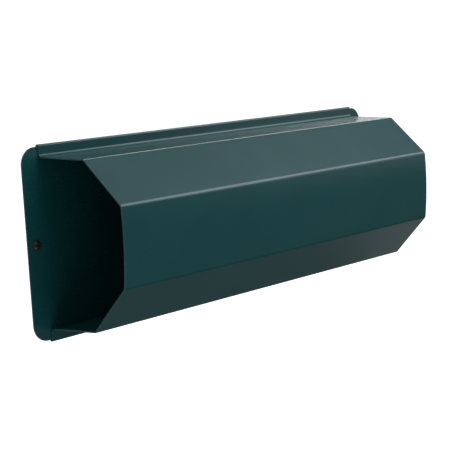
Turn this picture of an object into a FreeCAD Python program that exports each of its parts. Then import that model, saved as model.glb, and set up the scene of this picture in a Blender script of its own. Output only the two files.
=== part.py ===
"""Wall-mounted newspaper and mail holder, as a parametric FreeCAD document.

Two steel sheets and two short tapping screws. The front shell is one sheet folded into half a
hexagon, open at both ends, with a hem along its top and its bottom that closes round the straight
edges of the flat back plate. The plate stands out past the shell at both ends, and a screw goes
through each of those margins.

Frame: X along the holder, -Y away from the wall, +Z up. The origin is the middle of the wall face,
which is the plane of the two rear hem layers. Millimetres.
"""
import FreeCAD, Part
import math
import os
import Sketcher

X_AXIS = FreeCAD.Vector(1, 0, 0)
Z_AXIS = FreeCAD.Vector(0, 0, 1)
START, END, CENTRE = 1, 2, 3
ORIGIN_POINT = (-1, 1)
HORIZONTAL_AXIS = -1
VERTICAL_AXIS = -2

DIMENSIONS = [
    ("sheet_thickness", 1.0, "both steel sheets"),
    ("hem_play", 0.1, "room between the plate and each hem layer"),
    ("shell_length", 360.0, "front shell, end to end"),
    ("overall_height", 134.5, "over the two hem crests"),
    ("hem_return", 9.0, "hem layer behind the plate, from the crest down"),
    ("root_height", 118.0, "over the top and bottom faces, at the hems"),
    ("shoulder_height", 115.0, "over the top and bottom faces, at the shoulder folds"),
    ("shoulder_depth", 43.2, "shoulder fold from the plate's front"),
    ("front_rise", 28.0, "upper front fold above the middle"),
    ("front_drop", 26.5, "lower front fold below the middle"),
    ("front_depth", 75.0, "upper front fold from the plate's front"),
    ("low_front_depth", 73.2, "lower front fold from the plate's front"),
    ("front_bow", 1.3, "how far the front face bows out between its folds"),
    ("root_fold_radius", 2.0, "hollow side of the fold under each hem"),
    ("shoulder_fold_radius", 1.6, "outside of the two shoulder folds"),
    ("front_fold_radius", 4.5, "outside of the two front folds"),
    ("plate_length", 390.0, "back plate, end to end"),
    ("plate_height", 131.5, "back plate, between the hems"),
    ("plate_corner_radius", 12.0, "back plate's corners"),
    ("screw_inset", 7.5, "screw axis from the plate's end"),
    ("hole_diameter", 4.5, "fixing hole in the plate"),
    ("head_diameter", 7.0, "pan head"),
    ("head_height", 2.6, "pan head, over its crown"),
    ("head_edge", 0.8, "straight side of the pan head"),
    ("neck_diameter", 4.2, "thicker neck that centres the screw in its hole"),
    ("neck_length", 2.1, "neck, from under the head to the wall face"),
    ("shank_diameter", 3.5, "shank behind the neck, and the thread's crests"),
    ("thread_start", 3.2, "first thread groove, from under the head"),
    ("thread_root_diameter", 2.6, "bottom of the thread"),
    ("screw_length", 6.5, "from under the head to the tip"),
    ("thread_pitch", 1.3, "from one thread crest to the next"),
    ("tip_length", 1.8, "pointed end"),
    ("recess_span", 3.9, "cross recess, tip to tip"),
    ("recess_width", 1.0, "one arm of the cross recess"),
    ("recess_depth", 1.4, "cross recess, from the crown"),
]
STACK = "(3 * Dimensions.sheet_thickness + 2 * Dimensions.hem_play)"
PLATE_REAR = "(Dimensions.sheet_thickness + Dimensions.hem_play)"
PLATE_FRONT = "(2 * Dimensions.sheet_thickness + Dimensions.hem_play)"
HEM_END = "Dimensions.overall_height / 2 - Dimensions.hem_return"
FRONT_CHORD = ("sqrt((Dimensions.front_rise + Dimensions.front_drop) ^ 2"
               " + (Dimensions.front_depth - Dimensions.low_front_depth) ^ 2)")
BOW_RADIUS = f"{FRONT_CHORD} ^ 2 / (8 * Dimensions.front_bow) + Dimensions.front_bow / 2"
THREAD_GROOVES = 2
SCREWS = {"left_fixing_screw": (-1, 24.0), "right_fixing_screw": (1, 61.0)}


def make_sheet(doc):
    """The spreadsheet of driving dimensions, one aliased number a row."""
    sheet = doc.addObject("Spreadsheet::Sheet", "Dimensions")
    for row, (alias, value, note) in enumerate(DIMENSIONS, start=1):
        sheet.set(f"A{row}", alias)
        sheet.set(f"B{row}", str(value))
        sheet.set(f"C{row}", note)
        sheet.setAlias(f"B{row}", alias)
    doc.recompute()
    return sheet


def drawn_value(sketch, kind, refs):
    """What a dimension of a kind measures on the geometry as it is drawn."""
    if kind == "Radius":
        return sketch.Geometry[refs[0]].Radius
    first = sketch.getPoint(*refs[:2])
    second = sketch.getPoint(*refs[2:])
    return second.x - first.x if kind == "DistanceX" else second.y - first.y


def drive(sketch, kind, *refs, formula):
    """Add a dimension at its drawn value, then bind it to a formula on the spreadsheet."""
    index = sketch.addConstraint(Sketcher.Constraint(kind, *refs, drawn_value(sketch, kind, refs)))
    sketch.setExpression(f"Constraints[{index}]", formula)


def origin_plane(body, role):
    """One of a body's own origin planes, found by its role."""
    return next(item for item in body.Origin.OriginFeatures if item.Role == role)


def body_sketch(body, name, role, offset=None):
    """A sketch on one of the body's origin planes, moved along the plane's normal by a formula."""
    sketch = body.newObject("Sketcher::SketchObject", name)
    sketch.AttachmentSupport = [(origin_plane(body, role), "")]
    sketch.MapMode = "FlatFace"
    if offset:
        sketch.setExpression("AttachmentOffset.Base.z", offset)
    return sketch


def point(across, up):
    """A point in a sketch's plane."""
    return FreeCAD.Vector(across, up, 0)


def bearing(centre, target):
    """The angle of a point as seen from a circle's centre."""
    return math.atan2(target.y - centre.y, target.x - centre.x)


class FoldLine:
    """An open line of straight runs and tangent folds in a sketch, laid from one free end to the other."""

    def __init__(self, sketch):
        self.sketch = sketch
        self.segments = []

    def _join(self, index, first, last):
        """Keep the segment with its first and last ends, tangent to the one before."""
        if self.segments:
            before, _, before_last = self.segments[-1]
            self.sketch.addConstraint(Sketcher.Constraint("Tangent", before, before_last, index, first))
        self.segments.append((index, first, last))
        return index

    def run(self, start, end):
        """A straight run."""
        return self._join(self.sketch.addGeometry(Part.LineSegment(start, end), False), START, END)

    def bend(self, centre, start, end, turns_left):
        """An arc from start to end about centre."""
        low, high = (start, end) if turns_left else (end, start)
        circle = Part.Circle(centre, Z_AXIS, (start - centre).Length)
        sweep = (bearing(centre, high) - bearing(centre, low)) % (2 * math.pi)
        arc = Part.ArcOfCircle(circle, bearing(centre, low), bearing(centre, low) + sweep)
        index = self.sketch.addGeometry(arc, False)
        return self._join(index, START if turns_left else END, END if turns_left else START)


def fold_at(before, corner, after, radius):
    """The arc of a radius that rounds a corner: its centre, first and last point, and if it turns left."""
    arriving = (corner - before).normalize()
    leaving = (after - corner).normalize()
    turn = arriving.getAngle(leaving)
    back = radius * math.tan(turn / 2)
    start = corner - arriving * back
    turns_left = arriving.cross(leaving).z > 0
    side = Z_AXIS.cross(arriving) * (1 if turns_left else -1)
    return start + side * radius, start, corner + leaving * back, turns_left


def mirrored(spot):
    """The same point under the sketch's horizontal axis."""
    return point(spot.x, -spot.y)


def plate_front(sheet):
    """How far the plate's front stands off the wall."""
    return 2 * sheet.sheet_thickness + sheet.hem_play


def shell_steps(sheet, front, opposite):
    """One half of the shell's outer line, from the rear hem's free edge to the front face.

    The half is laid above the middle. front is its front fold's corner and opposite is the other
    half's. Gives the runs and bends in order, and the corners of the three folds.
    """
    stack = 3 * sheet.sheet_thickness + 2 * sheet.hem_play
    crest = point(-stack / 2, (sheet.overall_height - stack) / 2)
    root = point(-stack, sheet.root_height / 2)
    shoulder = point(-plate_front(sheet) - sheet.shoulder_depth, sheet.shoulder_height / 2)
    crest_start = point(0, crest.y)
    crest_end = point(-stack, crest.y)
    root_fold = fold_at(crest_end, root, shoulder, sheet.root_fold_radius)
    shoulder_fold = fold_at(root, shoulder, front, sheet.shoulder_fold_radius)
    front_fold = fold_at(shoulder, front, opposite, sheet.front_fold_radius)
    steps = [
        ("run", point(0, sheet.overall_height / 2 - sheet.hem_return), crest_start),
        ("bend", crest, crest_start, crest_end, True),
        ("run", crest_end, root_fold[1]),
        ("bend", *root_fold),
        ("run", root_fold[2], shoulder_fold[1]),
        ("bend", *shoulder_fold),
        ("run", shoulder_fold[2], front_fold[1]),
        ("bend", *front_fold),
    ]
    return steps, [root, shoulder, front]


def bow_centre(sheet, top, bottom):
    """The centre of the front face's arc, behind the middle of its chord."""
    chord = top - bottom
    radius = chord.Length ** 2 / (8 * sheet.front_bow) + sheet.front_bow / 2
    behind = chord.cross(Z_AXIS).normalize()
    return (top + bottom) * 0.5 + behind * (radius - sheet.front_bow)


def draw_shell_line(doc, sheet):
    """Sketch of the shell's outer line, fully constrained, in the YZ plane."""
    sketch = doc.addObject("Sketcher::SketchObject", "ShellLine")
    turn = FreeCAD.Rotation(FreeCAD.Vector(1, 1, 1), 120)
    sketch.Placement = FreeCAD.Placement(FreeCAD.Vector(), turn)
    front = point(-plate_front(sheet) - sheet.front_depth, sheet.front_rise)
    low_front = point(-plate_front(sheet) - sheet.low_front_depth, -sheet.front_drop)
    upper, corners = shell_steps(sheet, front, low_front)
    lower, low_corners = shell_steps(sheet, mirrored(low_front), mirrored(front))
    line = FoldLine(sketch)
    for step in upper:
        getattr(line, step[0])(*step[1:])
    bow_start, bow_end = upper[-1][3], mirrored(lower[-1][3])
    bow = line.bend(bow_centre(sheet, bow_start, bow_end), bow_start, bow_end, True)
    for step in reversed(lower):
        if step[0] == "run":
            line.run(mirrored(step[2]), mirrored(step[1]))
        else:
            line.bend(mirrored(step[1]), mirrored(step[3]), mirrored(step[2]), step[4])
    corners.append(mirrored(low_corners[-1]))
    constrain_shell_line(sketch, line, corners, bow)
    return sketch


def constrain_shell_line(sketch, line, corners, bow):
    """Dimensions of the shell's outer line.

    The lower half follows the upper one by symmetry and equal radii up to its shoulder fold, and
    has its own front fold.
    """
    ids = [segment[0] for segment in line.segments]
    rear, crest, flange, root_fold, face, shoulder_fold, slant, front_fold = ids[:8]
    low_front_fold, low_slant, low_shoulder, _, low_root, low_flange, low_crest, low_rear = ids[9:]
    for straight in (rear, flange, low_flange, low_rear):
        sketch.addConstraint(Sketcher.Constraint("Vertical", straight))
    sketch.addConstraint(Sketcher.Constraint("PointOnObject", rear, START, VERTICAL_AXIS))
    drive(sketch, "Radius", crest, formula=f"{STACK} / 2")
    drive(sketch, "DistanceY", *ORIGIN_POINT, crest, CENTRE,
          formula=f"(Dimensions.overall_height - {STACK}) / 2")
    drive(sketch, "DistanceY", *ORIGIN_POINT, rear, START, formula=HEM_END)
    drive(sketch, "Radius", root_fold, formula="Dimensions.root_fold_radius")
    drive(sketch, "Radius", shoulder_fold, formula="Dimensions.shoulder_fold_radius")
    drive(sketch, "Radius", front_fold, formula="Dimensions.front_fold_radius")
    drive(sketch, "Radius", bow, formula=BOW_RADIUS)
    marks = [sketch.addGeometry(Part.Point(corner), True) for corner in corners]
    root, shoulder, front, low_front = marks
    drive(sketch, "DistanceY", *ORIGIN_POINT, root, START, formula="Dimensions.root_height / 2")
    drive(sketch, "DistanceY", *ORIGIN_POINT, shoulder, START, formula="Dimensions.shoulder_height / 2")
    drive(sketch, "DistanceX", shoulder, START, *ORIGIN_POINT,
          formula=f"{PLATE_FRONT} + Dimensions.shoulder_depth")
    drive(sketch, "DistanceY", *ORIGIN_POINT, front, START, formula="Dimensions.front_rise")
    drive(sketch, "DistanceX", front, START, *ORIGIN_POINT,
          formula=f"{PLATE_FRONT} + Dimensions.front_depth")
    drive(sketch, "DistanceY", low_front, START, *ORIGIN_POINT, formula="Dimensions.front_drop")
    drive(sketch, "DistanceX", low_front, START, *ORIGIN_POINT,
          formula=f"{PLATE_FRONT} + Dimensions.low_front_depth")
    crossings = {root: (flange, face), shoulder: (face, slant), front: (slant, bow),
                 low_front: (low_slant, bow)}
    for mark, neighbours in crossings.items():
        for neighbour in neighbours:
            sketch.addConstraint(Sketcher.Constraint("PointOnObject", mark, START, neighbour))
    for high, low in ((root_fold, low_root), (shoulder_fold, low_shoulder), (crest, low_crest)):
        sketch.addConstraint(Sketcher.Constraint("Symmetric", high, CENTRE, low, CENTRE, HORIZONTAL_AXIS))
    for high, low in ((root_fold, low_root), (shoulder_fold, low_shoulder), (front_fold, low_front_fold)):
        sketch.addConstraint(Sketcher.Constraint("Equal", high, low))
    drive(sketch, "DistanceY", low_rear, END, *ORIGIN_POINT, formula=HEM_END)


def make_front_shell(doc, sheet):
    """The folded sheet: its outer line thickened inwards to the sheet's section, then drawn out along X."""
    section = doc.addObject("Part::Offset2D", "ShellSection")
    section.Source = draw_shell_line(doc, sheet)
    section.Mode = "Skin"
    section.Fill = True
    section.setExpression("Value", "-Dimensions.sheet_thickness")
    shell = doc.addObject("Part::Extrusion", "FrontShell")
    shell.Label = "front_shell"
    shell.Base = section
    shell.DirMode = "Custom"
    shell.Dir = X_AXIS
    shell.Solid = True
    shell.Symmetric = True
    shell.setExpression("LengthFwd", "Dimensions.shell_length")
    return shell


def draw_rounded_plate(sketch, sheet):
    """A rectangle with round corners about the sketch's origin."""
    half_long = sheet.plate_length / 2
    half_high = sheet.plate_height / 2
    radius = sheet.plate_corner_radius
    line = FoldLine(sketch)
    corners = [point(half_long, -half_high), point(half_long, half_high),
               point(-half_long, half_high), point(-half_long, -half_high)]
    folds = [fold_at(corners[i - 1], corners[i], corners[(i + 1) % 4], radius) for i in range(4)]
    arcs, sides = [], []
    for i in range(4):
        arcs.append(line.bend(*folds[i]))
        sides.append(line.run(folds[i][2], folds[(i + 1) % 4][1]))
    sketch.addConstraint(Sketcher.Constraint("Tangent", sides[3], END, arcs[0], START))
    for i, direction in enumerate(("Vertical", "Horizontal", "Vertical", "Horizontal")):
        sketch.addConstraint(Sketcher.Constraint(direction, sides[i]))
    for other in arcs[1:]:
        sketch.addConstraint(Sketcher.Constraint("Equal", arcs[0], other))
    sketch.addConstraint(Sketcher.Constraint("Symmetric", arcs[0], CENTRE, arcs[2], CENTRE, *ORIGIN_POINT))
    drive(sketch, "Radius", arcs[0], formula="Dimensions.plate_corner_radius")
    drive(sketch, "DistanceX", *ORIGIN_POINT, arcs[0], CENTRE,
          formula="Dimensions.plate_length / 2 - Dimensions.plate_corner_radius")
    drive(sketch, "DistanceY", arcs[0], CENTRE, *ORIGIN_POINT,
          formula="Dimensions.plate_height / 2 - Dimensions.plate_corner_radius")


def draw_fixing_holes(sketch, sheet):
    """Two circles on the middle line, one in each end margin."""
    reach = sheet.plate_length / 2 - sheet.screw_inset
    for side in (-1, 1):
        circle = Part.Circle(point(side * reach, 0), Z_AXIS, sheet.hole_diameter / 2)
        index = sketch.addGeometry(circle, False)
        sketch.addConstraint(Sketcher.Constraint("PointOnObject", index, CENTRE, HORIZONTAL_AXIS))
        ends = (index, CENTRE, *ORIGIN_POINT) if side < 0 else (*ORIGIN_POINT, index, CENTRE)
        drive(sketch, "DistanceX", *ends, formula="Dimensions.plate_length / 2 - Dimensions.screw_inset")
        drive(sketch, "Radius", index, formula="Dimensions.hole_diameter / 2")


def make_back_plate(doc, sheet):
    """The flat plate between the hem layers, with its two fixing holes."""
    body = doc.addObject("PartDesign::Body", "BackPlate")
    body.Label = "back_plate"
    outline = body_sketch(body, "PlateOutline", "XZ_Plane", PLATE_REAR)
    draw_rounded_plate(outline, sheet)
    blank = body.newObject("PartDesign::Pad", "PlateBlank")
    blank.Profile = outline
    blank.setExpression("Length", "Dimensions.sheet_thickness")
    holes = body_sketch(body, "PlateHoles", "XZ_Plane")
    draw_fixing_holes(holes, sheet)
    drilled = body.newObject("PartDesign::Pocket", "FixingHoles")
    drilled.Profile = holes
    drilled.Midplane = True
    drilled.setExpression("Length", "6 * Dimensions.sheet_thickness")
    return body


def draw_closed(sketch, corners):
    """A closed outline of straight sides. Gives the sides' numbers."""
    sides = []
    for i, corner in enumerate(corners):
        sides.append(sketch.addGeometry(Part.LineSegment(corner, corners[(i + 1) % len(corners)]), False))
    for i, side in enumerate(sides):
        following = sides[(i + 1) % len(sides)]
        sketch.addConstraint(Sketcher.Constraint("Coincident", side, END, following, START))
    return sides


def draw_screw_half(sketch, sheet):
    """Half of the screw's long section: crown, head, neck, shank, point, axis."""
    head = sheet.head_diameter / 2
    neck = sheet.neck_diameter / 2
    shank = sheet.shank_diameter / 2
    rise = sheet.head_height - sheet.head_edge
    crown_radius = (head ** 2 + rise ** 2) / (2 * rise)
    crown_centre = point(0, crown_radius - sheet.head_height)
    rim = point(head, -sheet.head_edge)
    circle = Part.Circle(crown_centre, Z_AXIS, crown_radius)
    arc = sketch.addGeometry(Part.ArcOfCircle(circle, -math.pi / 2, bearing(crown_centre, rim)), False)
    spots = [
        rim,
        point(head, 0),
        point(neck, 0),
        point(neck, sheet.neck_length),
        point(shank, sheet.neck_length),
        point(shank, sheet.screw_length - sheet.tip_length),
        point(0, sheet.screw_length),
        point(0, -sheet.head_height),
    ]
    sides = [sketch.addGeometry(Part.LineSegment(a, b), False) for a, b in zip(spots, spots[1:])]
    head_side, underside, neck_side, step, shank_side, tip, axis = sides
    sketch.addConstraint(Sketcher.Constraint("Coincident", arc, END, head_side, START))
    sketch.addConstraint(Sketcher.Constraint("Coincident", axis, END, arc, START))
    for before, after in zip(sides, sides[1:]):
        sketch.addConstraint(Sketcher.Constraint("Coincident", before, END, after, START))
    for upright in (head_side, neck_side, shank_side):
        sketch.addConstraint(Sketcher.Constraint("Vertical", upright))
    sketch.addConstraint(Sketcher.Constraint("Horizontal", step))
    for end in (START, END):
        sketch.addConstraint(Sketcher.Constraint("PointOnObject", underside, end, HORIZONTAL_AXIS))
    sketch.addConstraint(Sketcher.Constraint("PointOnObject", tip, END, VERTICAL_AXIS))
    for spot in (START, CENTRE):
        sketch.addConstraint(Sketcher.Constraint("PointOnObject", arc, spot, VERTICAL_AXIS))
    for name, side in {"head": underside, "neck": neck_side, "shank": shank_side}.items():
        drive(sketch, "DistanceX", *ORIGIN_POINT, side, START, formula=f"Dimensions.{name}_diameter / 2")
    drive(sketch, "DistanceY", head_side, START, *ORIGIN_POINT, formula="Dimensions.head_edge")
    drive(sketch, "DistanceY", arc, START, *ORIGIN_POINT, formula="Dimensions.head_height")
    drive(sketch, "DistanceY", *ORIGIN_POINT, neck_side, END, formula="Dimensions.neck_length")
    drive(sketch, "DistanceY", shank_side, END, tip, END, formula="Dimensions.tip_length")
    drive(sketch, "DistanceY", *ORIGIN_POINT, tip, END, formula="Dimensions.screw_length")


def draw_thread_notch(sketch, sheet):
    """The V between two thread crests, at the thread's start, open outwards."""
    crest = sheet.shank_diameter / 2
    root = sheet.thread_root_diameter / 2
    low = sheet.thread_start
    half = sheet.thread_pitch / 2
    overshoot = crest + (crest - root)
    corners = [point(root, low + half), point(overshoot, low - half), point(overshoot, low + 3 * half)]
    lower, outer, upper = draw_closed(sketch, corners)
    sketch.addConstraint(Sketcher.Constraint("Vertical", outer))
    sketch.addConstraint(Sketcher.Constraint("Equal", lower, upper))
    drive(sketch, "DistanceX", *ORIGIN_POINT, lower, START, formula="Dimensions.thread_root_diameter / 2")
    drive(sketch, "DistanceX", *ORIGIN_POINT, outer, START,
          formula="Dimensions.shank_diameter - Dimensions.thread_root_diameter / 2")
    drive(sketch, "DistanceY", *ORIGIN_POINT, lower, START,
          formula="Dimensions.thread_start + Dimensions.thread_pitch / 2")
    drive(sketch, "DistanceY", outer, START, outer, END, formula="2 * Dimensions.thread_pitch")


def draw_recess_arm(sketch, sheet):
    """One arm of the cross recess, a rectangle about the screw's axis."""
    half_long = sheet.recess_span / 2
    half_wide = sheet.recess_width / 2
    corners = [point(-half_long, -half_wide), point(half_long, -half_wide),
               point(half_long, half_wide), point(-half_long, half_wide)]
    bottom, right, top, left = draw_closed(sketch, corners)
    for side in (bottom, top):
        sketch.addConstraint(Sketcher.Constraint("Horizontal", side))
    for side in (right, left):
        sketch.addConstraint(Sketcher.Constraint("Vertical", side))
    sketch.addConstraint(Sketcher.Constraint("Symmetric", bottom, START, top, START, *ORIGIN_POINT))
    drive(sketch, "DistanceX", bottom, START, bottom, END, formula="Dimensions.recess_span")
    drive(sketch, "DistanceY", right, START, right, END, formula="Dimensions.recess_width")


def make_screw(doc, sheet, label, side, turn):
    """A pan-head tapping screw, head on the plate's front, point to the wall, turned on its axis."""
    body = doc.addObject("PartDesign::Body", "".join(word.title() for word in label.split("_")))
    body.Label = label
    section = body_sketch(body, "ScrewSection", "XY_Plane")
    draw_screw_half(section, sheet)
    turned = body.newObject("PartDesign::Revolution", "TurnedBlank")
    turned.Profile = section
    turned.ReferenceAxis = (section, ["V_Axis"])
    turned.Angle = 360.0
    notch = body_sketch(body, "ThreadNotch", "XY_Plane")
    draw_thread_notch(notch, sheet)
    first_notch = body.newObject("PartDesign::Groove", "FirstNotch")
    first_notch.Profile = notch
    first_notch.ReferenceAxis = (notch, ["V_Axis"])
    first_notch.Angle = 360.0
    doc.recompute()
    thread = body.newObject("PartDesign::LinearPattern", "Thread")
    thread.Originals = [first_notch]
    thread.Direction = (notch, ["V_Axis"])
    thread.Occurrences = THREAD_GROOVES
    thread.setExpression("Length", f"{THREAD_GROOVES - 1} * Dimensions.thread_pitch")
    body.Tip = thread
    doc.recompute()
    check_cut(turned, first_notch)
    check_cut(first_notch, thread)
    arm = body_sketch(body, "RecessArm", "XZ_Plane", "Dimensions.head_height")
    draw_recess_arm(arm, sheet)
    slot = body.newObject("PartDesign::Pocket", "RecessSlot")
    slot.Profile = arm
    slot.setExpression("Length", "Dimensions.recess_depth")
    doc.recompute()
    cross = body.newObject("PartDesign::PolarPattern", "CrossRecess")
    cross.Originals = [slot]
    cross.Axis = (arm, ["N_Axis"])
    cross.Angle = 90.0
    cross.Occurrences = 2
    body.Tip = cross
    doc.recompute()
    check_cut(thread, slot)
    check_cut(slot, cross)
    body.Placement = FreeCAD.Placement(FreeCAD.Vector(), FreeCAD.Rotation(FreeCAD.Vector(0, 1, 0), turn))
    reach = "(Dimensions.plate_length / 2 - Dimensions.screw_inset)"
    body.setExpression("Placement.Base.x", f"{side} * {reach}")
    body.setExpression("Placement.Base.y", f"-{PLATE_FRONT}")
    return body


def check_document(doc, nodes):
    """Stop on any failed object, and on a sub-part that isn't one valid solid."""
    for item in doc.Objects:
        if "Invalid" in item.State or "Error" in item.State:
            raise RuntimeError(f"{item.Name} failed: {item.State}")
        if item.TypeId == "Sketcher::SketchObject" and not item.FullyConstrained:
            raise RuntimeError(f"{item.Name} is not fully constrained")
    for node in nodes:
        shape = node.Shape
        if shape.isNull() or not shape.isValid() or len(shape.Solids) != 1:
            raise RuntimeError(f"{node.Label} is not one valid solid")


def check_cut(before, after):
    """Stop if a cut took nothing away."""
    if after.Shape.Volume >= before.Shape.Volume:
        raise RuntimeError(f"{after.Name} cuts nothing")


def check_sizes(sheet, shell, plate):
    """Compare the built sheets with the sizes that they should have."""
    box = shell.Shape.BoundBox
    if abs(box.ZLength - sheet.overall_height) > 0.01 or abs(box.YMax) > 0.01:
        raise RuntimeError(f"the shell was thickened outwards: {box}")
    blank = sheet.plate_length * sheet.plate_height - (4 - math.pi) * sheet.plate_corner_radius ** 2
    expected = (blank - math.pi * sheet.hole_diameter ** 2 / 2) * sheet.sheet_thickness
    if abs(plate.Shape.Volume - expected) > 1.0:
        raise RuntimeError(f"the plate's holes are missing: {plate.Shape.Volume} for {expected}")


def main():
    """Build the document and write one STEP file for each sub-part."""
    doc = FreeCAD.newDocument("NewspaperHolder")
    sheet = make_sheet(doc)
    shell = make_front_shell(doc, sheet)
    plate = make_back_plate(doc, sheet)
    screws = [make_screw(doc, sheet, label, side, turn) for label, (side, turn) in SCREWS.items()]
    doc.recompute()
    nodes = [plate, shell, *screws]
    check_document(doc, nodes)
    check_sizes(sheet, shell, plate)
    os.makedirs("parts", exist_ok=True)
    for node in nodes:
        node.Shape.exportStep(os.path.join("parts", node.Label + ".step"))
        print(node.Label, "volume", round(node.Shape.Volume, 1), "box", node.Shape.BoundBox)


main()
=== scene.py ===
"""Wall-mounted newspaper holder: its painted sheets, fixing screws, studio and camera.

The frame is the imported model: X along the holder, -Y away from the wall, +Z up, the origin in the
middle of the wall face. Everything is in metres, and every piece has its place in its mesh.
"""
import logging
import math
from dataclasses import dataclass, field
from enum import Enum

import bmesh
import bpy
import numpy as np
from mathutils import Matrix, Vector


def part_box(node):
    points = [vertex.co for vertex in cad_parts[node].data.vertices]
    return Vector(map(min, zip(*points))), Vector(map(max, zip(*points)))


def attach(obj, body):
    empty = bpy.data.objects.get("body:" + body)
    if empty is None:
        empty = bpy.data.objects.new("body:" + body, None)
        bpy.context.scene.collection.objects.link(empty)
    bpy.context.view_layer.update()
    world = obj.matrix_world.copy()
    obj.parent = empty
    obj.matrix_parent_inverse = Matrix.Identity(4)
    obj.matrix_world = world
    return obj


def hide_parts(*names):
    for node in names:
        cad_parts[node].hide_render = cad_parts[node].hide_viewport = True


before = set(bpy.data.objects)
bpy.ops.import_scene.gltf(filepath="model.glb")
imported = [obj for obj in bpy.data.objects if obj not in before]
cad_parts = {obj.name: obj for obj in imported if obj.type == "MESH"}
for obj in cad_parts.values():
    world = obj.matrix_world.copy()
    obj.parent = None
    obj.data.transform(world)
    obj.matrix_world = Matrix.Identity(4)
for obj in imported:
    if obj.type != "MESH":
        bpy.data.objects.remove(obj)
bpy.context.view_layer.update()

Array = np.ndarray
Colour = tuple[float, float, float]
Triple = tuple[float, float, float]
Value = "Wire | float | tuple[float, ...]"

MM = 0.001
WELD_DISTANCE = 0.002 * MM
SLIVER_LENGTH = 0.001 * MM
FLAT_FACE_WEIGHT = 60
PLATE_ROUGHNESS = 0.27
LEFT_SCREW_TURN = math.radians(24.0)
RIGHT_SCREW_TURN = math.radians(61.0)
log = logging.getLogger("holder")


class Body(Enum):
    """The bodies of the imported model."""

    ROOT = "root"


class Slot(Enum):
    """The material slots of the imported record."""

    PLATE_PAINT = "plate_paint"
    SHELL_PAINT = "shell_paint"
    BLACK_SCREW = "black_screw"


class Side(Enum):
    """The two ends of the holder, as the sign of X."""

    LEFT = -1
    RIGHT = 1


class Mask(Enum):
    """Attributes of a mesh that its finish reads."""

    RIM = "rim"
    FOLD = "fold"


# --- shader nodes -------------------------------------------------------------------------------


class Wire:
    """An output socket whose arithmetic adds Math nodes."""

    def __init__(self, nodes: "Nodes", socket: bpy.types.NodeSocket) -> None:
        """Keep the socket and the tree that it belongs to.

        Args:
            nodes: the tree that new nodes are added to.
            socket: the output socket.
        """
        self.nodes = nodes
        self.socket = socket

    def _math(self, operation: str, *values: Value) -> "Wire":
        """A Math node on the values, in order."""
        return self.nodes.add("Math", {"operation": operation}, dict(enumerate(values)))

    def __add__(self, other: Value) -> "Wire":
        """Sum."""
        return self._math("ADD", self, other)

    def __sub__(self, other: Value) -> "Wire":
        """Difference."""
        return self._math("SUBTRACT", self, other)

    def __rsub__(self, other: Value) -> "Wire":
        """Difference, with the wire on the right."""
        return self._math("SUBTRACT", other, self)

    def __mul__(self, other: Value) -> "Wire":
        """Product."""
        return self._math("MULTIPLY", self, other)

    __radd__ = __add__
    __rmul__ = __mul__

    def between(self, low: float, high: float) -> "Wire":
        """A smooth step from 0 at low to 1 at high."""
        settings = {"interpolation_type": "SMOOTHSTEP"}
        return self.nodes.add("MapRange", settings, {"Value": self, "From Min": low, "From Max": high})


class Nodes:
    """A node tree that is filled from Python."""

    def __init__(self, tree: bpy.types.NodeTree) -> None:
        """Empty the tree.

        Args:
            tree: a material's or the world's node tree.
        """
        self.tree = tree
        self.tree.nodes.clear()

    def add(self, kind: str, settings: dict, inputs: dict, output: int | str = 0) -> Wire:
        """Add one node: its settings first, then the values or wires of its sockets.

        Args:
            kind: the node's type, without its ShaderNode prefix.
            settings: the node's own properties.
            inputs: values or wires by socket name or number.
            output: name or number of the output to give back.

        Returns:
            The chosen output.
        """
        node = self.tree.nodes.new("ShaderNode" + kind)
        for name, setting in settings.items():
            setattr(node, name, setting)
        for key, value in inputs.items():
            if isinstance(value, Wire):
                self.tree.links.new(value.socket, node.inputs[key])
            else:
                node.inputs[key].default_value = value
        return Wire(self, node.outputs[output] if node.outputs else None)

    def noise(self, size: float, detail: float, stretch: Triple) -> Wire:
        """Soft random values about 0.5 on Object coordinates.

        Args:
            size: length of one feature, in metres.
            detail: number of finer layers.
            stretch: how much shorter the features are along each axis.

        Returns:
            The noise's value.
        """
        place = self.add("TexCoord", {}, {}, "Object")
        place = self.add("Mapping", {}, {"Vector": place, "Scale": stretch})
        return self.add("TexNoise", {}, {"Vector": place, "Scale": 1.0 / size, "Detail": detail})

    def mask(self, mask: Mask) -> Wire:
        """A mesh attribute, from 0 to 1."""
        return self.add("Attribute", {"attribute_name": mask.value}, {}, "Fac")

    def blend(self, share: Value, first: Value, second: Value) -> Wire:
        """A colour between two colours.

        Args:
            share: how much of the second colour, from 0 to 1.
            first: the colour at 0.
            second: the colour at 1.

        Returns:
            The mixed colour.
        """
        colours = [(*c, 1.0) if isinstance(c, tuple) else c for c in (first, second)]
        return self.add("Mix", {"data_type": "RGBA"}, {0: share, 6: colours[0], 7: colours[1]}, 2)


# --- finishes -----------------------------------------------------------------------------------


@dataclass(frozen=True)
class Pattern:
    """Soft random values over a piece, plain or drawn out between two levels."""

    size: float
    detail: float
    levels: tuple[float, float] | None = None
    stretch: Triple = (1.0, 1.0, 1.0)

    def draw(self, nodes: Nodes) -> Wire:
        """Add the pattern to a finish.

        Args:
            nodes: the finish's tree.

        Returns:
            The noise, or a smooth step of it from 0 at the lower level to 1 at the upper one.
        """
        noise = nodes.noise(self.size, self.detail, self.stretch)
        return noise.between(*self.levels) if self.levels else noise


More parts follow.
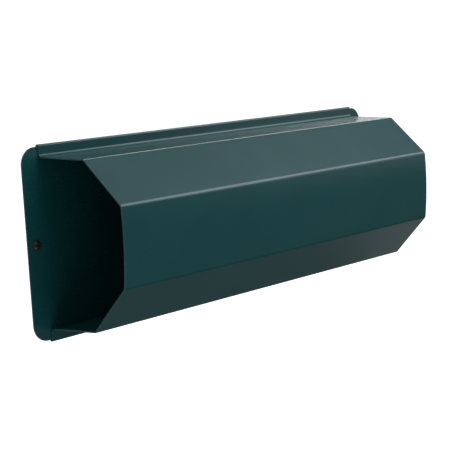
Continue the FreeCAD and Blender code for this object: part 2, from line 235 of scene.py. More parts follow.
@dataclass(frozen=True)
class PowderCoat:
    """Semi-gloss powder paint on sheet steel, with fine orange peel."""

    name: str
    colour: Colour = (0.0076, 0.0740, 0.0795)
    deep_colour: Colour = (0.0068, 0.0690, 0.0740)
    # pale colour of the random specks and of the cut rims, where it is partly thinner film and partly a
    # painted highlight
    pale_film_and_highlight_colour: Colour = (0.0300, 0.1050, 0.1100)
    drift: Pattern = Pattern(45 * MM, 3.0, (0.35, 0.65))
    specks: Pattern = Pattern(0.9 * MM, 1.0, (0.70, 0.78))
    speck_share: float = 0.03
    film_and_highlight_patches: Pattern = Pattern(3 * MM, 2.0, (0.30, 0.70))
    rim_film_and_highlight_share: float = 0.55
    roughness: float = 0.25
    clouds: Pattern = Pattern(18 * MM, 4.0)
    cloud_roughness: float = 0.05
    rubbed: Pattern = Pattern(9 * MM, 3.0, (0.52, 0.72), (0.12, 1.0, 1.0))
    rubbed_roughness: float = 0.015
    rim_roughness: float = 0.10
    fold_smoothness: float = 0.10
    peel: Pattern = Pattern(1.6 * MM, 1.0)
    peel_height: float = 0.0035 * MM
    grain: Pattern = Pattern(0.35 * MM, 1.0)
    grain_height: float = 0.0005 * MM
    refraction: float = 1.5

    def make(self) -> bpy.types.Material:
        """Build the paint.

        The colour drifts between two shades over some centimetres, has a few pale specks, and is
        lighter
        over a cut rim: partly the film thinning there, partly a painted highlight that stands in for
        the light the rims catch. The roughness drifts with cloudy patches and short rubbed streaks, is
        higher on the rims and lower in the folds, where the film is drawn smooth.

        Returns:
            The material.
        """
        material = bpy.data.materials.new(self.name)
        material.use_nodes = True
        nodes = Nodes(material.node_tree)
        rim = nodes.mask(Mask.RIM)
        fold = nodes.mask(Mask.FOLD)
        # painted highlight: the cut rims are lightened towards the pale colour, partly for the thinner
        # film there and partly to stand in for the light that the rims catch
        rim_film_and_highlight = rim * (self.rim_film_and_highlight_share + (1 - self.rim_film_and_highlight_share) * self.film_and_highlight_patches.draw(nodes))
        colour = nodes.blend(self.drift.draw(nodes), self.colour, self.deep_colour)
        colour = nodes.blend(self.specks.draw(nodes) * self.speck_share, colour, self.pale_film_and_highlight_colour)
        colour = nodes.blend(rim_film_and_highlight, colour, self.pale_film_and_highlight_colour)
        roughness = self.roughness + (self.clouds.draw(nodes) - 0.5) * self.cloud_roughness
        roughness = roughness + self.rubbed.draw(nodes) * self.rubbed_roughness
        roughness = roughness + rim * self.rim_roughness - fold * self.fold_smoothness
        height = self.peel.draw(nodes) * self.peel_height + self.grain.draw(nodes) * self.grain_height
        bump = nodes.add("Bump", {}, {"Height": height, "Distance": 1.0, "Strength": 1.0})
        surface = {"Base Color": colour, "Roughness": roughness, "Normal": bump,
                   "IOR": self.refraction}
        skin = nodes.add("BsdfPrincipled", {}, surface)
        nodes.add("OutputMaterial", {}, {"Surface": skin})
        return material


@dataclass(frozen=True)
class BlackedSteel:
    """Black wall screw: oxide over steel, bare on its rims and thread crests."""

    name: str = "blacked_steel"
    colour: Colour = (0.012, 0.009, 0.010)
    worn_colour: Colour = (0.022, 0.015, 0.016)
    bare_colour: Colour = (0.10, 0.085, 0.08)
    bare_share: float = 0.6
    patches: Pattern = Pattern(1.5 * MM, 3.0)
    patch_height: float = 0.01 * MM
    rubbed: Pattern = Pattern(0.5 * MM, 2.0, (0.35, 0.60))
    roughness: float = 0.42
    roughness_swing: float = 0.25
    metal: float = 0.25
    bare_metal: float = 0.5

    def make(self) -> bpy.types.Material:
        """Build the oxide, with a patchy colour and rubbed rims.

        Returns:
            The material.
        """
        material = bpy.data.materials.new(self.name)
        material.use_nodes = True
        nodes = Nodes(material.node_tree)
        patch = self.patches.draw(nodes)
        bare = nodes.mask(Mask.RIM) * self.rubbed.draw(nodes)
        colour = nodes.blend(patch, self.colour, self.worn_colour)
        colour = nodes.blend(bare * self.bare_share, colour, self.bare_colour)
        roughness = self.roughness + (patch - 0.5) * self.roughness_swing
        bump = nodes.add("Bump", {}, {"Height": patch * self.patch_height, "Distance": 1.0})
        surface = {"Base Color": colour, "Roughness": roughness, "Normal": bump,
                   "Metallic": self.metal + bare * self.bare_metal}
        skin = nodes.add("BsdfPrincipled", {}, surface)
        nodes.add("OutputMaterial", {}, {"Surface": skin})
        return material


@dataclass(frozen=True)
class StudioWhite:
    """Matt white paint of the floor and the sweep, lit up to the white of the paper."""

    name: str
    colour: Colour = (0.90, 0.90, 0.90)
    dull_share: float = 0.97
    clouds: Pattern = Pattern(0.4, 2.0)
    roughness: float = 0.8
    roughness_swing: float = 0.1
    glow: float = 0.97

    def make(self) -> bpy.types.Material:
        """Build the paint, which is a little cloudy under its glow.

        Returns:
            The material.
        """
        material = bpy.data.materials.new(self.name)
        material.use_nodes = True
        nodes = Nodes(material.node_tree)
        cloud = self.clouds.draw(nodes)
        dull_colour = tuple(self.dull_share * part for part in self.colour)
        surface = {"Base Color": nodes.blend(cloud, self.colour, dull_colour),
                   "Roughness": self.roughness + cloud * self.roughness_swing,
                   "Emission Color": (1.0, 1.0, 1.0, 1.0), "Emission Strength": self.glow}
        skin = nodes.add("BsdfPrincipled", {}, surface)
        nodes.add("OutputMaterial", {}, {"Surface": skin})
        return material


# --- surfaces -----------------------------------------------------------------------------------


def grid_faces(rows: int, columns: int, first: int = 0, around: bool = False) -> Array:
    """Quads between neighbours of a grid whose vertices are numbered row by row.

    Args:
        rows: number of rows.
        columns: number of vertices in a row.
        first: number of the grid's first vertex.
        around: True where the last column joins the first.

    Returns:
        Four vertex numbers for each quad.
    """
    row, column = np.meshgrid(np.arange(rows - 1), np.arange(columns if around else columns - 1),
                              indexing="ij")
    beside = (column + 1) % columns
    quads = [row * columns + column, row * columns + beside,
             (row + 1) * columns + beside, (row + 1) * columns + column]
    return np.stack(quads, axis=-1).reshape(-1, 4) + first


def rounded_line(corners: Array, radii: Array, run_step: float, fold_steps: int) -> tuple[Array, ...]:
    """Points along a line of straight runs whose corners are rounded by tangent arcs.

    At tangent angle f the normal is (sin f, -cos f), on the line's right. An arc's point is the
    arc's centre plus the radius times the normal where the line turns left, and minus it where the
    line turns right.

    Args:
        corners: places of the line's start, its corners and its end, one a row.
        radii: radius of each rounded corner, one for each corner between start and end.
        run_step: greatest distance between points of a run.
        fold_steps: number of steps in each arc.

    Returns:
        The points, the unit normals on the line's right, and how far each point is into a fold,
        from 0 on a run to 1 in the middle of an arc.
    """
    places, normals, bends = [], [], []
    reached = corners[0]
    for before, corner, after, radius in zip(corners, corners[1:], corners[2:], radii):
        arriving = (corner - before) / np.linalg.norm(corner - before)
        leaving = (after - corner) / np.linalg.norm(after - corner)
        turn = math.atan2(arriving[0] * leaving[1] - arriving[1] * leaving[0], arriving @ leaving)
        start = corner - arriving * radius * math.tan(abs(turn) / 2)
        side = math.copysign(1.0, turn)
        heading = math.atan2(arriving[1], arriving[0])
        steps = max(1, math.ceil(np.linalg.norm(start - reached) / run_step))
        share = np.arange(steps)[:, None] / steps
        places.append(reached + (start - reached) * share)
        normals.append(np.full((steps, 2), (arriving[1], -arriving[0])))
        bends.append(np.zeros(steps))
        part = np.arange(fold_steps) / fold_steps
        angle = heading + turn * part
        outward = np.stack([np.sin(angle), -np.cos(angle)], axis=-1)
        centre = start + side * radius * np.array([-arriving[1], arriving[0]])
        places.append(centre + side * radius * outward)
        normals.append(outward)
        bends.append(np.sin(part * math.pi) ** 2)
        reached = corner + leaving * radius * math.tan(abs(turn) / 2)
    leaving = (corners[-1] - reached) / np.linalg.norm(corners[-1] - reached)
    steps = max(1, math.ceil(np.linalg.norm(corners[-1] - reached) / run_step))
    share = np.arange(steps + 1)[:, None] / steps
    places.append(reached + (corners[-1] - reached) * share)
    normals.append(np.full((steps + 1, 2), (leaving[1], -leaving[0])))
    bends.append(np.zeros(steps + 1))
    return np.concatenate(places), np.concatenate(normals), np.concatenate(bends)


def sheet_rim(thickness: float, radius: float, steps: int = 4) -> tuple[Array, Array]:
    """Section of a sheet's cut rim, from its outer face round to its inner face.

    Two quarter circles of the radius, one at each face, with the flat of the cut between them.

    Args:
        thickness: the sheet's thickness.
        radius: radius of the deburred edges.
        steps: steps in each quarter circle.

    Returns:
        How far each point is inside the cut's end plane, and how deep it is under the outer face.
    """
    angle = np.linspace(0.0, math.pi / 2, steps + 1)
    inside = radius * (1.0 - np.sin(angle))
    deep = radius * (1.0 - np.cos(angle))
    return np.concatenate([inside, inside[::-1]]), np.concatenate([deep, thickness - deep[::-1]])


@dataclass
class Surface:
    """Vertices, faces and masks of a piece while it is put together."""

    places: list[Array] = field(default_factory=list)
    quads: list[Array] = field(default_factory=list)
    masks: dict[Mask, list[Array]] = field(default_factory=lambda: {mask: [] for mask in Mask})

    def add_grid(self, grid: Array, around: bool = False, **masks: Array) -> None:
        """Add a grid of points and the quads between them.

        Args:
            grid: rows x columns x 3 places.
            around: True where the last column joins the first.
            masks: rim and fold values, each rows x columns or one number.
        """
        rows, columns = grid.shape[:2]
        first = sum(len(block) for block in self.places)
        self.places.append(grid.reshape(-1, 3))
        self.quads.append(grid_faces(rows, columns, first, around))
        for mask in Mask:
            values = np.broadcast_to(masks.get(mask.value, 0.0), (rows, columns))
            self.masks[mask].append(values.reshape(-1))

    def make(self, name: str, finish: bpy.types.Material) -> bpy.types.Object:
        """Weld the grids where they meet and make the object.

        Args:
            name: the piece's name.
            finish: its material.

        Returns:
            The object, at the origin, smooth, its faces outwards.
        """
        mesh = bpy.data.meshes.new(name)
        mesh.from_pydata(np.concatenate(self.places).tolist(), [],
                         np.concatenate(self.quads).tolist())
        for mask, blocks in self.masks.items():
            layer = mesh.attributes.new(mask.value, "FLOAT", "POINT")
            layer.data.foreach_set("value", np.concatenate(blocks).astype(np.float32))
        body = bmesh.new()
        body.from_mesh(mesh)
        bmesh.ops.remove_doubles(body, verts=body.verts, dist=WELD_DISTANCE)
        bmesh.ops.dissolve_degenerate(body, edges=body.edges, dist=SLIVER_LENGTH)
        bmesh.ops.recalc_face_normals(body, faces=body.faces)
        body.to_mesh(mesh)
        body.free()
        mesh.shade_smooth()
        mesh.materials.append(finish)
        piece = bpy.data.objects.new(name, mesh)
        bpy.context.scene.collection.objects.link(piece)
        even = piece.modifiers.new("even_shading", "WEIGHTED_NORMAL")
        even.weight = FLAT_FACE_WEIGHT
        return piece


def hand_over(piece: bpy.types.Object, node: str) -> None:
    """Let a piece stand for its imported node.

    Args:
        piece: the finished object.
        node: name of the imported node.
    """
    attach(piece, Body.ROOT.value)
    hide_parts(node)


# --- the holder ---------------------------------------------------------------------------------


@dataclass(frozen=True)
class Wave:
    """One slow wave in a face that is never quite flat, in radians a metre along and up."""

    along: float
    up: float
    phase: float
    share: float


@dataclass
class FrontShell:
    """The folded sheet: half an octagon with a hem at its top and bottom, open at both ends."""

    node: str = "front_shell"
    thickness: float = 1.0 * MM
    edge_radius: float = 0.18 * MM
    rim_fade: float = 0.35 * MM
    plate_front: float = 2.1 * MM
    flange_front: float = 3.2 * MM
    hem_return: float = 9.0 * MM
    root_height: float = 59.0 * MM
    shoulder: tuple[float, float] = (43.2 * MM, 57.5 * MM)
    upper_front: tuple[float, float] = (75.0 * MM, 28.0 * MM)
    lower_front: tuple[float, float] = (73.2 * MM, -26.5 * MM)
    front_bow: float = 1.3 * MM
    root_radius: float = 2.0 * MM
    shoulder_radius: float = 1.6 * MM
    front_radius: float = 4.5 * MM
    front_half_turn: float = math.radians(23.0)
    sag: float = 0.10 * MM
    waves: tuple[Wave, ...] = (Wave(23.0, 31.0, 0.6, 0.32), Wave(51.0, -47.0, 2.1, 0.18))
    stiff_points: int = 3
    across_steps: int = 72
    run_step: float = 4.5 * MM
    fold_steps: int = 10

    def brow(self, upper: Array, lower: Array) -> tuple[Array, float]:
        """The corner that, rounded by the largest arc with room, makes the front face's bow.

        The arc touches the two lines from the corner where the front folds leave them. Its crown
        stands over the chord by the corner's height times one minus the arc's reach over the
        chord, which gives the corner's height for the wanted bow.

        Args:
            upper: the upper front fold's corner.
            lower: the lower front fold's corner.

        Returns:
            The corner's place and the arc's radius.
        """
        chord = np.linalg.norm(upper - lower)
        fold_room = self.front_radius * math.tan(self.front_half_turn)
        reach = chord / 2 - fold_room
        height = self.front_bow / (1 - reach / chord)
        outward = np.array([-(upper - lower)[1], (upper - lower)[0]]) / chord
        corner = (upper + lower) / 2 + outward * height
        return corner, reach / math.tan(math.atan2(2 * height, chord))

    def line(self) -> tuple[Array, ...]:
        """The outer line of the section, from the upper hem's free edge round to the lower one.

        Returns:
            Places, outward normals and fold shares, as rounded_line gives them.
        """
        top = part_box(self.node)[1][2]
        hem_radius = self.flange_front / 2
        free = (0.0, top - self.hem_return)
        crest = [(0.0, top), (-self.flange_front, top)]
        root = (-self.flange_front, self.root_height)
        shoulder = (-self.plate_front - self.shoulder[0], self.shoulder[1])
        upper, lower = [np.array((-self.plate_front - depth, height))
                        for depth, height in (self.upper_front, self.lower_front)]
        brow, brow_radius = self.brow(upper, lower)
        half = [free, *crest, root, shoulder]
        mirrored = [(depth, -height) for depth, height in reversed(half)]
        corners = np.array([*half, upper, brow, lower, *mirrored])
        radii = [hem_radius, hem_radius, self.root_radius, self.shoulder_radius, self.front_radius]
        return rounded_line(corners, [*radii, brow_radius, *reversed(radii)],
                            self.run_step, self.fold_steps)

    def unevenness(self, along: Array, height: Array, flat: Array) -> Array:
        """How far the faces sag inwards, always under the true faces.

        Two slow waves along the holder with different lengths, that drift with the height. Folds
        are stiff, so they stay where they are.

        Args:
            along: X of each point.
            height: Z of each point.
            flat: 1 on the runs and 0 in the folds.

        Returns:
            The inward shift of each point.
        """
        depth = 0.5
        for wave in self.waves:
            depth = depth + wave.share * np.sin(along * wave.along + height * wave.up + wave.phase)
        return self.sag * flat * depth

    def flatness(self, bends: Array) -> Array:
        """Square of the share of runs among the points near each point of the line.

        Args:
            bends: fold shares, as rounded_line gives them.

        Returns:
            1 in the middle of a run, falling to 0 in a fold.
        """
        window = 2 * self.stiff_points + 1
        runs = np.pad(1.0 - (bends > 0), self.stiff_points, mode="edge")
        return np.convolve(runs, np.ones(window) / window, mode="valid") ** 2

    def build(self, finish: bpy.types.Material) -> bpy.types.Object:
        """Make the shell's skin: the sheet's section across X carried along the folded line.

        Each row is one point of the line. In a row the points run along the outer face, round the
        cut at one end, back along the inner face and round the cut at the other end. A point is
        the line's point minus its depth under the outer face times the normal.

        Args:
            finish: the paint.

        Returns:
            The finished piece.
        """
        places, normals, bends = self.line()
        half_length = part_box(self.node)[1][0]
        inside, deep = sheet_rim(self.thickness, self.edge_radius)
        reach = half_length - self.edge_radius - self.rim_fade
        face = np.linspace(-reach, reach, self.across_steps + 1)
        end = half_length - inside
        along = np.concatenate([face, end, face[::-1], -end[::-1]])
        depth = np.concatenate([np.zeros(len(face)), deep,
                                np.full(len(face), self.thickness), deep[::-1]])
        rim = np.concatenate([np.zeros(len(face)), np.ones(len(end)),
                              np.zeros(len(face)), np.ones(len(end))])
        shift = self.unevenness(along[None, :], places[:, 1:2], self.flatness(bends)[:, None])
        under = depth[None, :] + shift
        grid = np.stack([np.broadcast_to(along, under.shape),
                         places[:, :1] - normals[:, :1] * under,
                         places[:, 1:] - normals[:, 1:] * under], axis=-1)
        skin = Surface()
        skin.add_grid(grid, around=True, rim=rim[None, :], fold=bends[:, None])
        for row in (grid[0], grid[-1]):
            self.close_hem(skin, row, len(face), len(end))
        piece = skin.make("folded_shell", finish)
        hand_over(piece, self.node)
        return piece

    @staticmethod
    def close_hem(skin: Surface, row: Array, face_count: int, end_count: int) -> None:
        """Close a hem's free edge with quads from its outer to its inner points.

        Args:
            skin: the surface to add to.
            row: the last ring of points.
            face_count: points along one face.
            end_count: points round one cut.
        """
        half = end_count // 2
        ring = np.roll(row, half, axis=0)
        count = face_count + end_count
        skin.add_grid(np.stack([ring[:count], ring[count:][::-1]]), rim=1.0)


@dataclass
class BackPlate:
    """The flat plate that the hems close round, with a screw hole in each end margin."""

    node: str = "back_plate"
    thickness: float = 1.0 * MM
    edge_radius: float = 0.18 * MM
    rim_fade: float = 0.35 * MM
    corner_radius: float = 12.0 * MM
    hole_radius: float = 2.25 * MM
    screw_inset: float = 7.5 * MM
    edge_step: float = 6 * MM
    corner_steps: int = 16
    middle_steps: int = 23
    ring_steps: int = 14

    def half_outline(self, half_length: float, half_height: float) -> tuple[Array, Array]:
        """The outline of one end, from the middle of the top edge round to the middle of the bottom.

        Args:
            half_length: half of the plate's length.
            half_height: half of the plate's height.

        Returns:
            The points in X and Z, and the unit normals that point off the plate.
        """
        corners = np.array([(0.0, -half_height), (half_length, -half_height),
                            (half_length, half_height), (0.0, half_height)])
        points, normals, _ = rounded_line(corners, [self.corner_radius] * 2, self.edge_step,
                                          self.corner_steps)
        return points, normals

    def build(self, finish: bpy.types.Material) -> bpy.types.Object:
        """Make the plate's skin from two ends, mirror images of each other.

        Args:
            finish: the paint.

        Returns:
            The finished piece.
        """
        low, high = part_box(self.node)
        points, normals = self.half_outline(high[0], high[2])
        skin = Surface()
        for side in Side:
            self.add_end(skin, side, points, normals, high[0] - self.screw_inset, low[1])
        piece = skin.make("plain_back_plate", finish)
        hand_over(piece, self.node)
        return piece

    def add_end(self, skin: Surface, side: Side, points: Array, normals: Array, hole: float,
                front: float) -> None:
        """Add one end: the outer rim, both faces and the wall of the hole.

        A face is a fan of rings: ring t lies at (1 - t) of the hole's circle plus t of the
        outline, each point along its own ray from the hole's centre. One more ring close to each
        edge keeps the rim mask at the rim.

        Args:
            skin: the surface to add to.
            side: which end.
            points: the end's outline.
            normals: the outline's normals.
            hole: X of the hole's centre.
            front: Y of the plate's front face.
        """
        inside, deep = sheet_rim(self.thickness, self.edge_radius)
        rim = points[None] - normals[None] * inside[:, None, None]
        self.add_sheet(skin, side, rim, front + deep[:, None], rim_share=1.0)
        edge = points - normals * self.edge_radius
        middle = np.linspace(edge[-1], edge[0], self.middle_steps + 1)[1:-1]
        outline = np.concatenate([edge, middle])
        centre = np.array([hole, 0.0])
        away = outline - centre
        away /= np.linalg.norm(away, axis=1, keepdims=True)
        mouth = centre + away * (self.hole_radius + self.edge_radius)
        share = (np.linspace(0.0, 1.0, self.ring_steps) ** 2)[:, None, None]
        mouth_fade, outline_fade = mouth + away * self.rim_fade, outline - away * self.rim_fade
        rings = mouth_fade[None] * (1 - share) + outline_fade[None] * share
        rings = np.concatenate([mouth[None], rings, outline[None]])
        for depth in (0.0, self.thickness):
            self.add_sheet(skin, side, rings, front + depth, around=True)
        wall = centre + away[None] * (self.hole_radius + inside[:, None, None])
        self.add_sheet(skin, side, wall, front + deep[:, None], rim_share=1.0, around=True)

    @staticmethod
    def add_sheet(skin: Surface, side: Side, flat: Array, depth: Array | float,
                  rim_share: float = 0.0, around: bool = False) -> None:
        """Add a grid given by X, Z and depth, turned to one end.

        Args:
            skin: the surface to add to.
            side: which end.
            flat: rows x columns x 2 places in X and Z.
            depth: Y of the grid's points.
            rim_share: the rim mask's value.
            around: True where the last column joins the first.
        """
        deep = np.broadcast_to(depth, flat.shape[:2])
        grid = np.stack([flat[..., 0] * side.value, deep, flat[..., 1]], axis=-1)
        skin.add_grid(grid, around=around, rim=rim_share)


@dataclass
class FixingScrew:
    """Short pan-head tapping screw with a cross recess and a coarse thread."""

    node: str
    turn: float
    seat: float = -2.1 * MM
    head_radius: float = 3.5 * MM
    head_height: float = 2.6 * MM
    head_edge: float = 0.8 * MM
    rim_radius: float = 0.3 * MM
    neck_radius: float = 2.1 * MM
    neck_length: float = 2.1 * MM
    crest_radius: float = 1.75 * MM
    core_radius: float = 1.3 * MM
    thread_start: float = 3.0 * MM
    pitch: float = 1.3 * MM
    length: float = 6.5 * MM
    tip_length: float = 1.8 * MM
    recess_span: float = 3.9 * MM
    recess_width: float = 1.0 * MM
    recess_depth: float = 1.4 * MM
    recess_wall: float = 0.22
    recess_floor: float = 0.30
    neck_gap: float = 0.02 * MM
    neck_slope: float = 0.15 * MM
    thread_lead: float = 0.3 * MM
    ridge_slope: float = 1.6
    ridge_sunk: float = 0.5
    worn_crest: float = 0.97
    crown_steps: int = 34
    thread_steps: int = 64
    around_steps: int = 72

    def head_profile(self) -> Array:
        """Radius and distance along the axis, from the crown's middle to under the head.

        The crown is an arc through the middle and the rim, which is rounded.

        Returns:
            One radius and one distance a row.
        """
        rise = self.head_height - self.head_edge
        sphere = (self.head_radius ** 2 + rise ** 2) / (2 * rise)
        radius = np.linspace(0.0, self.head_radius - 0.5 * self.rim_radius, self.crown_steps)
        crown = np.stack([radius, sphere - self.head_height - np.sqrt(sphere ** 2 - radius ** 2)], -1)
        skirt = np.array([(self.head_radius, -self.head_edge + 0.4 * self.rim_radius),
                          (self.head_radius, -self.rim_radius),
                          (self.head_radius - self.rim_radius, 0.0),
                          (self.neck_radius, 0.0)])
        return np.concatenate([crown, skirt])

    def recess(self, across: Array, up: Array) -> Array:
        """Depth of the cross recess under the crown.

        Off an arm's middle line the depth falls to nothing at half the width by a smooth step,
        and along the arm it falls to nothing at the tip by a parabola. The recess's wall and floor
        are the shares of its width and span over which it falls.

        Args:
            across: place along the first arm.
            up: place along the second arm.

        Returns:
            The depth at each place.
        """
        off = np.minimum(np.abs(across), np.abs(up))
        out = np.maximum(np.abs(across), np.abs(up))
        wall = np.clip((self.recess_width / 2 - off) / (self.recess_wall * self.recess_width), 0.0, 1.0)
        floor = np.clip((self.recess_span / 2 - out) / (self.recess_floor * self.recess_span), 0.0, 1.0)
        return self.recess_depth * wall * wall * (3 - 2 * wall) * floor * (2 - floor)

    def shank(self, angle: Array) -> tuple[Array, Array, Array]:
        """Radius and axial grids of the neck, thread and tip.

        The radius is the crests' less the groove's depth times a wave of the distance along the
        axis, which moves by one pitch for each turn. The groove deepens over its first half turn,
        and the tip shrinks everything to a point.

        Args:
            angle: angles round the axis.

        Returns:
            Radius, distance and rubbed crests, rows along the axis by columns round it.
        """
        plain = np.array([(self.neck_radius, self.neck_gap),
                          (self.neck_radius, self.neck_length),
                          (self.crest_radius, self.neck_length + self.neck_slope)])
        start = self.thread_start - self.thread_lead
        axial = np.linspace(start, self.length, self.thread_steps)[:, None]
        wave = (axial / self.pitch - angle[None] / (2 * math.pi)) % 1.0
        ridge = np.clip(self.ridge_slope * (1 - np.abs(2 * wave - 1)) - self.ridge_sunk, 0.0, 1.0)
        grown = np.clip((axial - self.thread_start) / (0.5 * self.pitch), 0.0, 1.0)
        taper = np.clip((self.length - axial) / self.tip_length, 0.0, 1.0)
        groove = (self.crest_radius - self.core_radius) * (1 - ridge) * grown
        radius = (self.crest_radius - groove) * taper
        neck = (len(plain), len(angle))
        radii = [np.broadcast_to(plain[:, :1], neck), radius]
        distances = [np.broadcast_to(plain[:, 1:], neck), np.broadcast_to(axial, radius.shape)]
        rubbed = [np.zeros(neck), radius > self.worn_crest * self.crest_radius]
        return np.concatenate(radii), np.concatenate(distances), np.concatenate(rubbed)

    def build(self, side: Side, centre: float, finish: bpy.types.Material) -> bpy.types.Object:
        """Make the screw: rings of radius and axial distance turned round its axis.

        Args:
            side: the end that it stands at.
            centre: distance of its axis from the holder's middle.
            finish: the oxide.

        Returns:
            The finished piece.
        """
        angle = np.arange(self.around_steps) * 2 * math.pi / self.around_steps
        head = self.head_profile()
        head_radius = np.broadcast_to(head[:, :1], (len(head), len(angle)))
        across = head_radius * np.cos(angle - self.turn)
        up = head_radius * np.sin(angle - self.turn)
        on_crown = (head[:, 1:] < -self.head_edge).astype(float)
        head_axial = head[:, 1:] + self.recess(across, up) * on_crown
        head_rim = np.zeros_like(head_radius)
        head_rim[self.crown_steps - 2:self.crown_steps + 3] = 1.0
        shank_radius, shank_axial, crests = self.shank(angle)
        radius = np.concatenate([head_radius, shank_radius])
        axial = np.concatenate([head_axial, shank_axial])
        grid = np.stack([side.value * centre + radius * np.cos(angle), self.seat + axial,
                         radius * np.sin(angle)], axis=-1)
        skin = Surface()
        skin.add_grid(grid, around=True, rim=np.concatenate([head_rim, crests]))
        piece = skin.make(self.node.replace("fixing", "wall"), finish)
        hand_over(piece, self.node)
        return piece


# --- studio -------------------------------------------------------------------------------------


@dataclass(frozen=True)
class Softbox:
    """A soft light that looks at the holder: square, or with a height of its own."""

    name: str
    azimuth: float
    elevation: float
    distance: float
    size: float
    power: float
    tint: Colour = (1.0, 1.0, 1.0)
    target: Triple = (0.0, -0.03, 0.0)
    height: float | None = None

    def place(self) -> None:
        """Hang the light, facing its target."""
        lamp = bpy.data.lights.new(self.name, "AREA")
        lamp.shape = "RECTANGLE"
        lamp.size = self.size
        lamp.size_y = self.height or self.size
        lamp.energy = self.power
        lamp.color = self.tint
        azimuth, elevation = math.radians(self.azimuth), math.radians(self.elevation)
        away = Vector((math.sin(azimuth) * math.cos(elevation),
                       -math.cos(azimuth) * math.cos(elevation), math.sin(elevation)))
        light = bpy.data.objects.new(self.name, lamp)
        light.rotation_euler = away.to_track_quat("Z", "Y").to_euler()
        light.location = Vector(self.target) + away * self.distance
        light.visible_camera = False
        bpy.context.scene.collection.objects.link(light)


@dataclass(frozen=True)
class Glow:
    """A bright part of the surroundings, between two cosines of the angle from its middle."""

    towards: Triple
    strength: float
    dim_at: float = 0.30
    full_at: float = 0.90


@dataclass
class Studio:
    """White floor and sweep, which only the camera sees, soft lights and dim surroundings."""

    floor_drop: float = 0.55
    floor_size: float = 14.0
    floor_lines: int = 9
    sweep_radius: float = 6.5
    sweep_height: float = 8.0
    sweep_columns: int = 65
    sweep_rings: int = 17
    boxes: tuple[Softbox, ...] = (
        Softbox("front_box", 0.0, 25.0, 1.8, 0.8, 4.4),
        Softbox("top_box", 20.0, 65.0, 1.7, 1.0, 8.0),
        Softbox("right_low_box", 56.0, 9.0, 1.8, 0.6, 0.8),
        Softbox("right_box", 60.0, 32.0, 1.8, 0.90, 6.8, (0.94, 1.0, 1.12)),
        Softbox("right_high_box", 66.0, 42.0, 1.8, 0.7, 0.4, (0.96, 1.0, 1.05)),
        Softbox("fold_box", 114.0, 25.0, 1.8, 0.60, 2.4, height=0.26),
        Softbox("shoulder_box", 119.0, 38.0, 1.8, 0.50, 3.0, height=0.40),
        Softbox("under_box", 0.0, -45.0, 1.4, 0.6, 1.5),
        Softbox("under_left_box", -40.0, -45.0, 0.9, 0.5, 1.4),
        Softbox("behind_card", 130.0, -1.7, 1.8, 0.9, 6.0, height=0.53),
        Softbox("low_end_card", 98.0, -40.0, 0.30, 0.22, 0.024, target=(0.356, -0.05, -0.05)),
        Softbox("high_end_card", 84.0, 41.0, 0.50, 0.26, 0.012, target=(0.28, -0.05, 0.05)),
    )
    surroundings: float = 0.048
    glows: tuple[Glow, ...] = (
        Glow((0.70, -0.71, 0.00), 0.09, 0.78, 0.97),
        Glow((0.70, 0.35, -0.62), 0.065, 0.75, 0.95),
        Glow((-1.0, 0.0, 0.0), 0.30),
        Glow((0.0, 0.0, 1.0), 0.35),
    )

    def build(self) -> None:
        """Lay the floor, raise the sweep, hang the lights and light the surroundings."""
        self.lay_floor()
        self.raise_sweep()
        for box in self.boxes:
            box.place()
        self.light_surroundings()
        bpy.context.scene.view_settings.view_transform = "Standard"
        log.info("studio: %d soft lights, %d glows", len(self.boxes), len(self.glows))

    def light_surroundings(self) -> None:
        """Dim white all round, plus each glow: its strength times a smooth step of how nearly the
        direction points towards it."""
        world = bpy.data.worlds.new("surroundings")
        bpy.context.scene.world = world
        world.use_nodes = True
        nodes = Nodes(world.node_tree)
        direction = nodes.add("TexCoord", {}, {}, "Generated")
        light = self.surroundings
        for glow in self.glows:
            facing = nodes.add("VectorMath", {"operation": "DOT_PRODUCT"},
                               {0: direction, 1: glow.towards}, "Value")
            light = facing.between(glow.dim_at, glow.full_at) * glow.strength + light
        sky = nodes.add("Background", {}, {"Color": (1.0, 1.0, 1.0, 1.0), "Strength": light})
        nodes.add("OutputWorld", {}, {"Surface": sky})

    def lay_floor(self) -> None:
        """A flat pale floor well under the holder."""
        half = self.floor_size / 2
        side = np.linspace(-half, half, self.floor_lines)
        x, y = np.meshgrid(side, side, indexing="ij")
        self.stand("floor", np.stack([x, y, np.full_like(x, -self.floor_drop)], axis=-1))

    def raise_sweep(self) -> None:
        """A dome over the floor: a ring of the sweep's radius that closes over the top, its height
        following a quarter of an ellipse."""
        angle, rise = np.meshgrid(np.linspace(0.0, 2 * math.pi, self.sweep_columns),
                                  np.linspace(0.0, math.pi / 2, self.sweep_rings), indexing="ij")
        radius = self.sweep_radius * np.cos(rise)
        height = self.sweep_height * np.sin(rise) - self.floor_drop
        self.stand("sweep", np.stack([radius * np.cos(angle), radius * np.sin(angle), height], -1))

    @staticmethod
    def stand(name: str, grid: Array) -> None:
        """Make a part of the set that the camera sees and the holder does not.

        Args:
            name: the part's name.
            grid: rows x columns x 3 places.
        """
        mesh = bpy.data.meshes.new(name)
        mesh.from_pydata(grid.reshape(-1, 3).tolist(), [], grid_faces(*grid.shape[:2]).tolist())
        mesh.shade_smooth()
        mesh.materials.append(StudioWhite(name + "_white").make())
        part = bpy.data.objects.new(name, mesh)
        part.visible_diffuse = False
        part.visible_glossy = False
        part.visible_shadow = False
        bpy.context.scene.collection.objects.link(part)


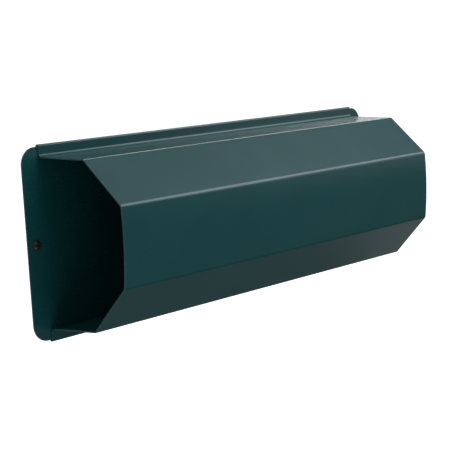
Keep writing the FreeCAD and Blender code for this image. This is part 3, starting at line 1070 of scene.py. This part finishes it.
@dataclass(frozen=True)
class Viewpoint:
    """A camera on a sphere round the plate's middle, tilted about its own axis."""

    azimuth: float = -49.31
    elevation: float = 7.31
    tilt: float = -3.37
    distance: float = 1.0621
    lens: float = 110.13
    film_width: float = 36.0
    nearest: float = 0.01
    farthest: float = 50.0
    aim_right: float = 5.3 * MM
    aim_down: float = 11.4 * MM

    def place(self, target: Vector) -> None:
        """Set up the camera and make it the scene's.

        Args:
            target: the point that the sphere is round.
        """
        azimuth, elevation = math.radians(self.azimuth), math.radians(self.elevation)
        back = Vector((math.sin(azimuth) * math.cos(elevation),
                       -math.cos(azimuth) * math.cos(elevation), math.sin(elevation)))
        level = Vector((math.cos(azimuth), math.sin(azimuth), 0.0))
        roll = Matrix.Rotation(math.radians(self.tilt), 3, back)
        right = roll @ level
        down = roll @ level.cross(back)
        aim = target + right * self.aim_right + down * self.aim_down
        camera = bpy.data.cameras.new("camera")
        camera.lens = self.lens
        camera.sensor_width = self.film_width
        camera.clip_start = self.nearest
        camera.clip_end = self.farthest
        eye = bpy.data.objects.new("camera", camera)
        turn = Matrix((right, -down, back)).transposed()
        eye.matrix_world = Matrix.Translation(aim + back * self.distance) @ turn.to_4x4()
        bpy.context.scene.collection.objects.link(eye)
        bpy.context.scene.camera = eye


def main() -> None:
    """Build the holder, its studio and its camera."""
    logging.basicConfig(level=logging.INFO, format="%(name)s %(message)s")
    shell_paint = PowderCoat("shell_powder_coat").make()
    plate_paint = PowderCoat("plate_powder_coat", roughness=PLATE_ROUGHNESS).make()
    oxide = BlackedSteel().make()
    plate = BackPlate()
    pieces = [FrontShell().build(shell_paint), plate.build(plate_paint)]
    low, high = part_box(plate.node)
    screws = {Side.LEFT: FixingScrew("left_fixing_screw", LEFT_SCREW_TURN),
              Side.RIGHT: FixingScrew("right_fixing_screw", RIGHT_SCREW_TURN)}
    for side, screw in screws.items():
        pieces.append(screw.build(side, high[0] - plate.screw_inset, oxide))
    for piece in pieces:
        mesh = piece.data
        log.info("%s: %d vertices, %d faces", piece.name, len(mesh.vertices), len(mesh.polygons))
    Studio().build()
    Viewpoint().place(Vector((0.0, low[1], 0.0)))


if __name__ == "__main__":
    main()
